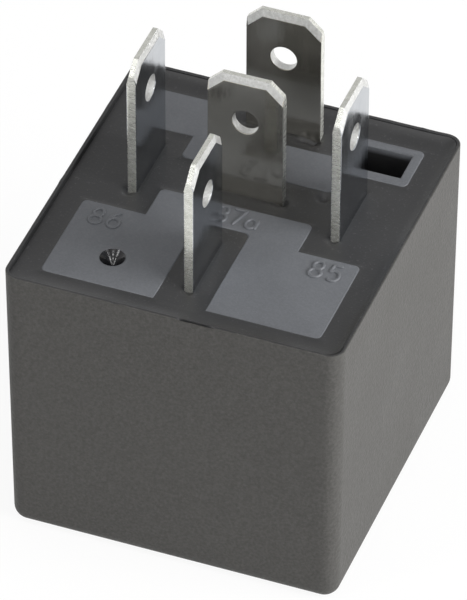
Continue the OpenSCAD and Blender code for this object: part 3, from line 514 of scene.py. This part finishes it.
# Filled epoxy: dark grey, satin, with a bloom that varies over millimetres and fine dust specks.
potting, tree, shader, place = new_finish("potting_epoxy", IOR=1.54)
cloud = add_node(tree, "ShaderNodeTexNoise", {"Vector": place, "Scale": 0.3, "Detail": 4.0, "Roughness": 0.6})
dust = add_node(tree, "ShaderNodeTexNoise", {"Vector": place, "Scale": 5.0, "Detail": 2.0, "Roughness": 0.6})
tint = add_node(tree, "ShaderNodeMix", {0: cloud.outputs[0], 6: linear("#202021"), 7: linear("#2b2b2c")},
                data_type="RGBA")
speck = add_node(tree, "ShaderNodeMapRange", {"Value": dust.outputs[0], 1: 0.62, 2: 0.72, 3: 0.0, 4: 0.35})
dusty = add_node(tree, "ShaderNodeMix", {0: speck.outputs[0], 6: tint.outputs[2], 7: linear("#5c5c5e")},
                 data_type="RGBA")
tree.links.new(dusty.outputs[2], shader.inputs["Base Color"])
satin = add_node(tree, "ShaderNodeMapRange", {"Value": cloud.outputs[0], 1: 0.3, 2: 0.7, 3: 0.34, 4: 0.48})
tree.links.new(satin.outputs[0], shader.inputs["Roughness"])
bump = add_node(tree, "ShaderNodeBump", {"Height": dust.outputs[0], "Strength": 0.35, "Distance": 0.00003})
tree.links.new(bump.outputs[0], shader.inputs["Normal"])
cover.data.materials.append(potting)
sealant = make_piece("sealant", [pool], [potting], crease=60)
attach(sealant, "housing")
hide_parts("epoxy_seal")


# Terminals: brass strip, 0.8 mm thick, tin plated, blanked, coined at the tip and bent, then pressed
# through the base. Each blade is 6.3 mm wide, with a latching hole; inside, they end in tails,
# a tenon, a leg with a foot and a strap with an arm.
blade_half, strip_half, roll_r = 3.15, 0.4, 0.05


def inset_corners(corners, amounts):
    """Moves each edge of an outline inwards by its own amount; a corner is where its moved edges cross."""
    corners = np.asarray(corners, float)
    edge = np.roll(corners, -1, 0) - corners
    inward = np.column_stack([-edge[:, 1], edge[:, 0]]) / np.linalg.norm(edge, axis=1)[:, None]
    pairs = np.stack([np.roll(inward, 1, 0), inward], 1)
    sums = np.stack([(pairs[:, 0] * corners).sum(1) + np.roll(amounts, 1),
                     (pairs[:, 1] * corners).sum(1) + amounts], 1)
    return np.linalg.solve(pairs, sums[:, :, None])[:, :, 0]


def edge_points(corners, steps):
    """Points spread evenly along each edge of an outline, steps[i] on edge i, from its first corner."""
    after = np.roll(corners, -1, 0)
    return np.concatenate([a + (b - a) * np.linspace(0, 1, n, endpoint=False)[:, None]
                           for a, b, n in zip(corners, after, steps)])


def rolled(distance, size):
    """How far a rolled-over edge drops: size - sqrt(size2 - (size - d)2) within its size, 0 beyond."""
    d = np.clip(distance, 0, size)
    return size - np.sqrt(size ** 2 - (size - d) ** 2)


def blade(low, tip, cut_w=1.15, cut_h=1.1, seed=1):
    """A blade in its own axes: across, through its thickness and up. Rings of an outline shrink from its edge
    to the hole on both faces, and each ring's thickness falls with its distance to the tip and side edges."""
    steps = [26, 110, 18, 40, 18, 110]
    corners = np.array([[-blade_half, low], [blade_half, low], [blade_half, tip - cut_h],
                        [blade_half - cut_w, tip], [cut_w - blade_half, tip], [-blade_half, tip - cut_h]])
    at_tip = np.repeat([0, 0, 1, 1, 1, 0], steps)
    hole = np.array([0, tip - 4.3])
    plans, drops = [], []
    for side, end in ((0, 0), (0.015, 0.02), (0.04, 0.15), (0.08, 0.3), (0.11, 0.45), (0.13, 0.58),
                      (0.16, 0.64), (0.3, 0.8), (0.5, 1.0)):
        plans.append(edge_points(inset_corners(corners, np.array([side, side, end, end, end, side])), steps))
    last = plans[-1]
    round_hole = (last - hole) / np.linalg.norm(last - hole, axis=1)[:, None]
    for f, extra in ((0.3, 0), (0.55, 0), (0.78, 0), (1, 0.12), (1, 0.06), (1, 0.02), (1, 0)):
        plans.append((1 - f) * last + f * (hole + round_hole * (1.1 + extra if f == 1 else 1.4)))
    plan = np.array(plans)
    to_tip = [((corners[k] - plan) * n).sum(-1) for k, n in
              ((2, np.array([cut_h, cut_w]) / np.hypot(cut_h, cut_w)), (3, np.array([0, 1])),
               (4, np.array([-cut_h, cut_w]) / np.hypot(cut_h, cut_w)))]
    to_tip = np.minimum.reduce(to_tip)
    to_side = blade_half - np.abs(plan[:, :, 0])
    to_hole = np.linalg.norm(plan - hole, axis=2) - 1.1
    bevel = 0.2 * (1 - np.clip(to_tip / 0.6, 0, 1))
    thick = strip_half - np.maximum(bevel, rolled(to_side, roll_r) * (bevel < 0.001)) - rolled(to_hole, 0.06)
    shear = np.random.default_rng(seed)
    ragged = shear.normal(0, 0.003, (3, plan.shape[1]))
    face = np.dstack([plan[:, :, 0], -thick, plan[:, :, 1]])
    back = face[::-1] * (1, -1, 1)
    edge_wall = []
    for k, f in enumerate((-0.4, 0.1, 0.55)):
        step = face[0] * (1, -f, 1)
        step[:, 0] += ragged[k] * np.sign(plan[0, :, 0]) * (1 - at_tip)
        step[:, 2] += ragged[k] * at_tip
        edge_wall.append(step * (1, -1, 1))
    hole_wall = [face[-1] * (1, f, 1) for f in (0.5, -0.5)]
    grid = np.concatenate([face, hole_wall, back, edge_wall])
    tags = np.zeros(grid.shape[:2], int)
    rings = len(plan)
    tags[:5] = 2 * at_tip
    tags[rings + 2 + rings - 6:2 * rings + 1] = 2 * at_tip
    tags[rings - 1:rings + 2] = 2
    tags[2 * rings + 1:] = 1
    return shell(grid, wrap_rows=True, tags=tags)


def bar(across, low, high, thick=strip_half):
    """A straight flat bar in a blade's axes: a round-edged rectangle carried up from low to high."""
    share, out = rounded_loop(6, 5)
    size = np.array([(across[1] - across[0]) / 2, thick])
    ring = share * (size - roll_r) + out * roll_r
    small = share * (size - roll_r) + out * roll_r * 0.3
    rows = [(small, low), (ring, low + 0.06), (ring, high - 0.06), (small, high)]
    grid = np.array([np.column_stack([plan, np.full(len(plan), z)]) for plan, z in rows])
    return shell(grid + (sum(across) / 2, 0, 0))


def bent_strip(across, path):
    """A flat strip carried along a path (through, up): its round-edged section keeps square to the path."""
    path = np.asarray(path, float)
    step = np.gradient(path, axis=0)
    step = step / np.linalg.norm(step, axis=1)[:, None]
    side = np.column_stack([step[:, 1], -step[:, 0]])
    share, out = rounded_loop(6, 5)
    size = np.array([(across[1] - across[0]) / 2, strip_half])
    ring = share * (size - roll_r) + out * roll_r
    centre = path[:, None, :] + side[:, None, :] * ring[None, :, 1:]
    wide = np.broadcast_to(ring[:, 0] + sum(across) / 2, centre.shape[:2])
    return shell(np.dstack([wide, centre]))


def bent_path(corners, radius=0.8):
    """A path through its corners, each rounded to an arc of the radius about the centre beside it."""
    corners = np.asarray(corners, float)
    parts = [corners[:1]]
    for before, corner, after in zip(corners, corners[1:], corners[2:]):
        a = (before - corner) / np.linalg.norm(before - corner)
        b = (after - corner) / np.linalg.norm(after - corner)
        turn = np.radians(np.linspace(0, 90, 10))[:, None]
        centre = corner + (a + b) * radius
        parts.append(centre - b * radius * np.cos(turn) - a * radius * np.sin(turn))
    return np.concatenate(parts + [corners[-1:]])


def plate(outline, low, high):
    """A flat blank: its outline, rounded by 0.06 mm at both faces, from low to high."""
    outline = np.asarray(outline, float)
    steps = [8] * len(outline)
    full = edge_points(outline, steps)
    small = edge_points(inset_corners(outline, np.full(len(outline), 0.06)), steps)
    rows = [(small, low), (full, low + 0.06), (full, high - 0.06), (small, high)]
    return shell(np.array([np.column_stack([plan, np.full(len(plan), z)]) for plan, z in rows]))


def placed(skin, at, quarter_turn=False):
    """Moves a skin from a blade's axes to its place; a quarter turn sets its width front to back."""
    points = skin[0]
    if quarter_turn:
        points = np.column_stack([-points[:, 1], points[:, 0], points[:, 2]])
    return points + (*at, 0), skin[1], skin[2]


# Tin over brass on the rolled faces: a soft mirror, wavy across the strip, with fine scratches along
# it and a thin oxide bloom that greys it. The blades across the base are the warmer ones.
tin_faces = []
for name, dark, light, metal in (("tin_plate", "#b1b5bb", "#d0d3d6", 1.0),
                                 ("tin_plate_aged", "#b5b2a9", "#cbc9c1", 0.94)):
    tin_face, tree, shader, place = new_finish(name, Metallic=metal)
    bloom = add_node(tree, "ShaderNodeTexNoise", {"Vector": place, "Scale": 0.5, "Detail": 4.0,
                                                  "Roughness": 0.6})
    stretch = add_node(tree, "ShaderNodeMapping", {"Vector": place, "Scale": (7.0, 7.0, 0.5)})
    scratch = add_node(tree, "ShaderNodeTexNoise", {"Vector": stretch.outputs[0], "Scale": 1.0, "Detail": 5.0,
                                                    "Roughness": 0.7})
    wave = add_node(tree, "ShaderNodeMapping", {"Vector": place, "Scale": (0.8, 0.8, 0.12)})
    ripple = add_node(tree, "ShaderNodeTexNoise", {"Vector": wave.outputs[0], "Scale": 1.0, "Detail": 2.0})
    tint = add_node(tree, "ShaderNodeMix", {0: bloom.outputs[0], 6: linear(dark), 7: linear(light)},
                    data_type="RGBA")
    tree.links.new(tint.outputs[2], shader.inputs["Base Color"])
    haze = add_node(tree, "ShaderNodeMath", {0: bloom.outputs[0], 1: scratch.outputs[0]},
                    operation="MULTIPLY")
    soft = add_node(tree, "ShaderNodeMapRange", {"Value": haze.outputs[0], 1: 0.12, 2: 0.42,
                                                 3: 0.06, 4: 0.22})
    tree.links.new(soft.outputs[0], shader.inputs["Roughness"])
    waves = add_node(tree, "ShaderNodeBump", {"Height": ripple.outputs[0], "Strength": 1.0,
                                              "Distance": 0.00002})
    bump = add_node(tree, "ShaderNodeBump", {"Height": scratch.outputs[0], "Strength": 0.4,
                                             "Distance": 0.00001, "Normal": waves.outputs[0]})
    tree.links.new(bump.outputs[0], shader.inputs["Normal"])
    tin_faces.append(tin_face)

# The blanked edges: sheared brass with a thin wash of tin, striped across the strip every 0.1 mm.
sheared_edge, tree, shader, place = new_finish("sheared_brass", Metallic=0.75)
stretch = add_node(tree, "ShaderNodeMapping", {"Vector": place, "Scale": (0.9, 0.9, 9.0)})
stripe = add_node(tree, "ShaderNodeTexNoise", {"Vector": stretch.outputs[0], "Scale": 1.0, "Detail": 4.0,
                                               "Roughness": 0.7})
spot = add_node(tree, "ShaderNodeTexNoise", {"Vector": place, "Scale": 3.0, "Detail": 3.0})
tint = add_node(tree, "ShaderNodeMix", {0: spot.outputs[0], 6: linear("#bcbdb3"), 7: linear("#ededE8")},
                data_type="RGBA")
tree.links.new(tint.outputs[2], shader.inputs["Base Color"])
soft = add_node(tree, "ShaderNodeMapRange", {"Value": stripe.outputs[0], 1: 0.3, 2: 0.7, 3: 0.16, 4: 0.4})
tree.links.new(soft.outputs[0], shader.inputs["Roughness"])
bump = add_node(tree, "ShaderNodeBump", {"Height": stripe.outputs[0], "Strength": 0.5, "Distance": 0.00003})
tree.links.new(bump.outputs[0], shader.inputs["Normal"])

# The coined lead-in at the tip: tin pressed bright, with a coarse drag pattern of 0.3 mm.
coined_tip, tree, shader, place = new_finish("coined_tin", Metallic=0.8)
drag = add_node(tree, "ShaderNodeTexNoise", {"Vector": place, "Scale": 4.5, "Detail": 5.0, "Roughness": 0.8})
tint = add_node(tree, "ShaderNodeMix", {0: drag.outputs[0], 6: linear("#8f8f88"), 7: linear("#ffffff")},
                data_type="RGBA")
tree.links.new(tint.outputs[2], shader.inputs["Base Color"])
soft = add_node(tree, "ShaderNodeMapRange", {"Value": drag.outputs[0], 1: 0.3, 2: 0.7, 3: 0.3, 4: 0.45})
tree.links.new(soft.outputs[0], shader.inputs["Roughness"])
bump = add_node(tree, "ShaderNodeBump", {"Height": drag.outputs[0], "Strength": 0.6, "Distance": 0.00008})
tree.links.new(bump.outputs[0], shader.inputs["Normal"])

under_z = plate_z - 2.6
shoulder_z = under_z - 1.2
shoulders = bar((-3.65, 3.65), shoulder_z, under_z)
tip_30, coil_tip = node_box("terminal_30")[1][2], node_box("terminal_86")[1][2]

skins = {
    "terminal_30": [placed(blade(under_z, tip_30, seed=30), (0, -7.05), True),
                    placed(bar((-1.6, 1.6), node_box("terminal_30")[0][2], under_z + 0.3), (0, -7.05), True)],
    "terminal_85": [placed(blade(under_z - 0.3, coil_tip, seed=85), (8.5, 2.65), True),
                    placed(shoulders, (8.5, 2.65), True),
                    placed(bar((-1.1, 1.1), shoulder_z - 3, shoulder_z + 0.3), (8.5, 2.65), True)],
    "terminal_86": [placed(blade(under_z - 0.3, coil_tip, cut_w=1.05, cut_h=1.05, seed=86),
                           (-8.5, 2.65), True),
                    placed(shoulders, (-8.5, 2.65), True),
                    placed(bar((-1.1, 1.1), shoulder_z - 3, shoulder_z + 0.3), (-8.5, 2.65), True)]}
low_87, high_87 = node_box("terminal_87")
foot_z = low_87[2] + strip_half
skins["terminal_87"] = [
    placed(blade(under_z - 0.3, high_87[2], seed=87), (0, 11.05)), placed(shoulders, (0, 11.05)),
    bent_strip((-2.4, 2.4), bent_path([(11.05, under_z), (11.05, foot_z), (low_87[1], foot_z)]))]
low_87a, high_87a = node_box("terminal_87a")
strap_mid, arm_mid = under_z + 0.5 + strip_half, low_87a[2] + strip_half
leg_y = high_87a[1] - strip_half
skins["terminal_87a"] = [
    placed(blade(strap_mid + 1.2, high_87a[2], seed=7), (0, 2.5)),
    bent_strip((-3.15, 3.15), bent_path([(2.5, under_z + 2.4), (2.5, strap_mid), (5.7, strap_mid)])),
    plate([(3.15, 3.3), (3.15, 5.7), (-4.6, 5.7), (-4.6, leg_y - 0.8), (-7, leg_y - 0.8), (-7, 4.3),
           (-6, 3.3)], strap_mid - strip_half, strap_mid + strip_half),
    bent_strip((-7, -4.6), bent_path([(5.7, strap_mid), (leg_y, strap_mid), (leg_y, arm_mid),
                                      (9.8, arm_mid)])),
    plate([(-4.6, leg_y - 0.8), (-7, leg_y - 0.8), (-7, 8.2), (-4.6, 7.4), (1.2, 7.4), (2, 8.2), (2, 10.6),
           (1.6, 11.0), (-4.6, 11.0)], arm_mid - strip_half, arm_mid + strip_half)]
for node, parts in skins.items():
    facing = tin_faces[1] if "87" in node else tin_faces[0]
    terminal = make_piece(node + "_strip", parts, [facing, sheared_edge, coined_tip], crease=30)
    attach(terminal, "housing")
    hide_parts(node)


# Coil: natural nylon bobbin wound with enamelled copper wire, whose two ends run to the tails of 85
# and 86.
# Moulded nylon is creamy, slightly waxy and faintly cloudy.
nylon, tree, shader, place = new_finish("natural_nylon", IOR=1.53, Subsurface_Weight=0.1)
cloud = add_node(tree, "ShaderNodeTexNoise", {"Vector": place, "Scale": 0.4, "Detail": 3.0})
tint = add_node(tree, "ShaderNodeMix", {0: cloud.outputs[0], 6: linear("#cfc8b4"), 7: linear("#e2dccb")},
                data_type="RGBA")
tree.links.new(tint.outputs[2], shader.inputs["Base Color"])
waxy = add_node(tree, "ShaderNodeMapRange", {"Value": cloud.outputs[0], 3: 0.35, 4: 0.5})
tree.links.new(waxy.outputs[0], shader.inputs["Roughness"])
nodes["bobbin"].data.materials[0] = nylon

# Enamel over copper: a clear amber coat on metal, with strands that differ a little in tone.
enamelled_wire, tree, shader, place = new_finish("enamelled_copper", Metallic=1.0, Coat_Weight=0.6,
                                                 Coat_Roughness=0.1)
strand = add_node(tree, "ShaderNodeMapping", {"Vector": place, "Scale": (0.3, 0.3, 2.4)})
tone = add_node(tree, "ShaderNodeTexNoise", {"Vector": strand.outputs[0], "Scale": 1.0, "Detail": 2.0})
tint = add_node(tree, "ShaderNodeMix", {0: tone.outputs[0], 6: linear("#8f4522"), 7: linear("#c8783f")},
                data_type="RGBA")
tree.links.new(tint.outputs[2], shader.inputs["Base Color"])
soft = add_node(tree, "ShaderNodeMapRange", {"Value": tone.outputs[0], 3: 0.2, 4: 0.35})
tree.links.new(soft.outputs[0], shader.inputs["Roughness"])
for node in ("coil_winding", "coil_lead_85", "coil_lead_86"):
    nodes[node].data.materials[0] = enamelled_wire


# Magnet: core, yoke and armature are stamped or turned from soft iron and zinc plated. The plating is
# a grey satin with fine rolling marks.
zinc_iron, tree, shader, place = new_finish("zinc_plated_iron", Metallic=1.0)
stretch = add_node(tree, "ShaderNodeMapping", {"Vector": place, "Scale": (0.5, 5.0, 0.5)})
rolling = add_node(tree, "ShaderNodeTexNoise", {"Vector": stretch.outputs[0], "Scale": 1.0, "Detail": 4.0})
spangle = add_node(tree, "ShaderNodeTexNoise", {"Vector": place, "Scale": 0.8, "Detail": 2.0})
tint = add_node(tree, "ShaderNodeMix", {0: spangle.outputs[0], 6: linear("#9a9c9b"), 7: linear("#bcbebd")},
                data_type="RGBA")
tree.links.new(tint.outputs[2], shader.inputs["Base Color"])
soft = add_node(tree, "ShaderNodeMapRange", {"Value": rolling.outputs[0], 3: 0.3, 4: 0.48})
tree.links.new(soft.outputs[0], shader.inputs["Roughness"])
bump = add_node(tree, "ShaderNodeBump", {"Height": rolling.outputs[0], "Strength": 0.3, "Distance": 0.00002})
tree.links.new(bump.outputs[0], shader.inputs["Normal"])
for node in ("core", "yoke", "armature"):
    nodes[node].data.materials[0] = zinc_iron


# Contact spring: one leaf of rolled bronze, bent round the yoke's edge. Above the bend it is riveted
# to the yoke, and below it carries the armature and the moving contact.
spring, work = merged_copy("contact_spring", "leaf_spring")
work.to_mesh(spring.data)
work.free()
spring.data.polygons.foreach_set("use_smooth", np.ones(len(spring.data.polygons), bool))
spring.data.set_sharp_from_angle(angle=np.radians(30))
# Rolled phosphor bronze: warm and satin, with marks along the strip.
bronze, tree, shader, place = new_finish("rolled_bronze", Metallic=1.0)
stretch = add_node(tree, "ShaderNodeMapping", {"Vector": place, "Scale": (8.0, 0.6, 0.6)})
rolling = add_node(tree, "ShaderNodeTexNoise", {"Vector": stretch.outputs[0], "Scale": 1.0, "Detail": 3.0})
tint = add_node(tree, "ShaderNodeMix", {0: rolling.outputs[0], 6: linear("#a8733a"), 7: linear("#c99252")},
                data_type="RGBA")
tree.links.new(tint.outputs[2], shader.inputs["Base Color"])
soft = add_node(tree, "ShaderNodeMapRange", {"Value": rolling.outputs[0], 3: 0.22, 4: 0.38})
tree.links.new(soft.outputs[0], shader.inputs["Roughness"])
spring.data.materials.clear()
spring.data.materials.append(bronze)
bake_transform(spring)
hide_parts("contact_spring")


# Rivets and contacts: headed steel rivets, plated grey, and silver alloy buttons with a pressed dome
# on the spring and flat faces on 87 and 87a.
rivet_plate, tree, shader, place = new_finish("plated_rivet", Metallic=1.0)
tone = add_node(tree, "ShaderNodeTexNoise", {"Vector": place, "Scale": 2.0, "Detail": 3.0})
tint = add_node(tree, "ShaderNodeMix", {0: tone.outputs[0], 6: linear("#a9aaa8"), 7: linear("#c6c7c5")},
                data_type="RGBA")
tree.links.new(tint.outputs[2], shader.inputs["Base Color"])
soft = add_node(tree, "ShaderNodeMapRange", {"Value": tone.outputs[0], 3: 0.25, 4: 0.42})
tree.links.new(soft.outputs[0], shader.inputs["Roughness"])
for node in ("yoke_rivets", "armature_rivets"):
    nodes[node].data.materials[0] = rivet_plate

silver, tree, shader, place = new_finish("contact_silver", Metallic=1.0)
tone = add_node(tree, "ShaderNodeTexNoise", {"Vector": place, "Scale": 3.0, "Detail": 3.0})
tint = add_node(tree, "ShaderNodeMix", {0: tone.outputs[0], 6: linear("#cfcfca"), 7: linear("#e9e9e6")},
                data_type="RGBA")
tree.links.new(tint.outputs[2], shader.inputs["Base Color"])
soft = add_node(tree, "ShaderNodeMapRange", {"Value": tone.outputs[0], 3: 0.16, 4: 0.3})
tree.links.new(soft.outputs[0], shader.inputs["Roughness"])
for node in ("moving_contact", "contact_87", "contact_87a"):
    nodes[node].data.materials[0] = silver
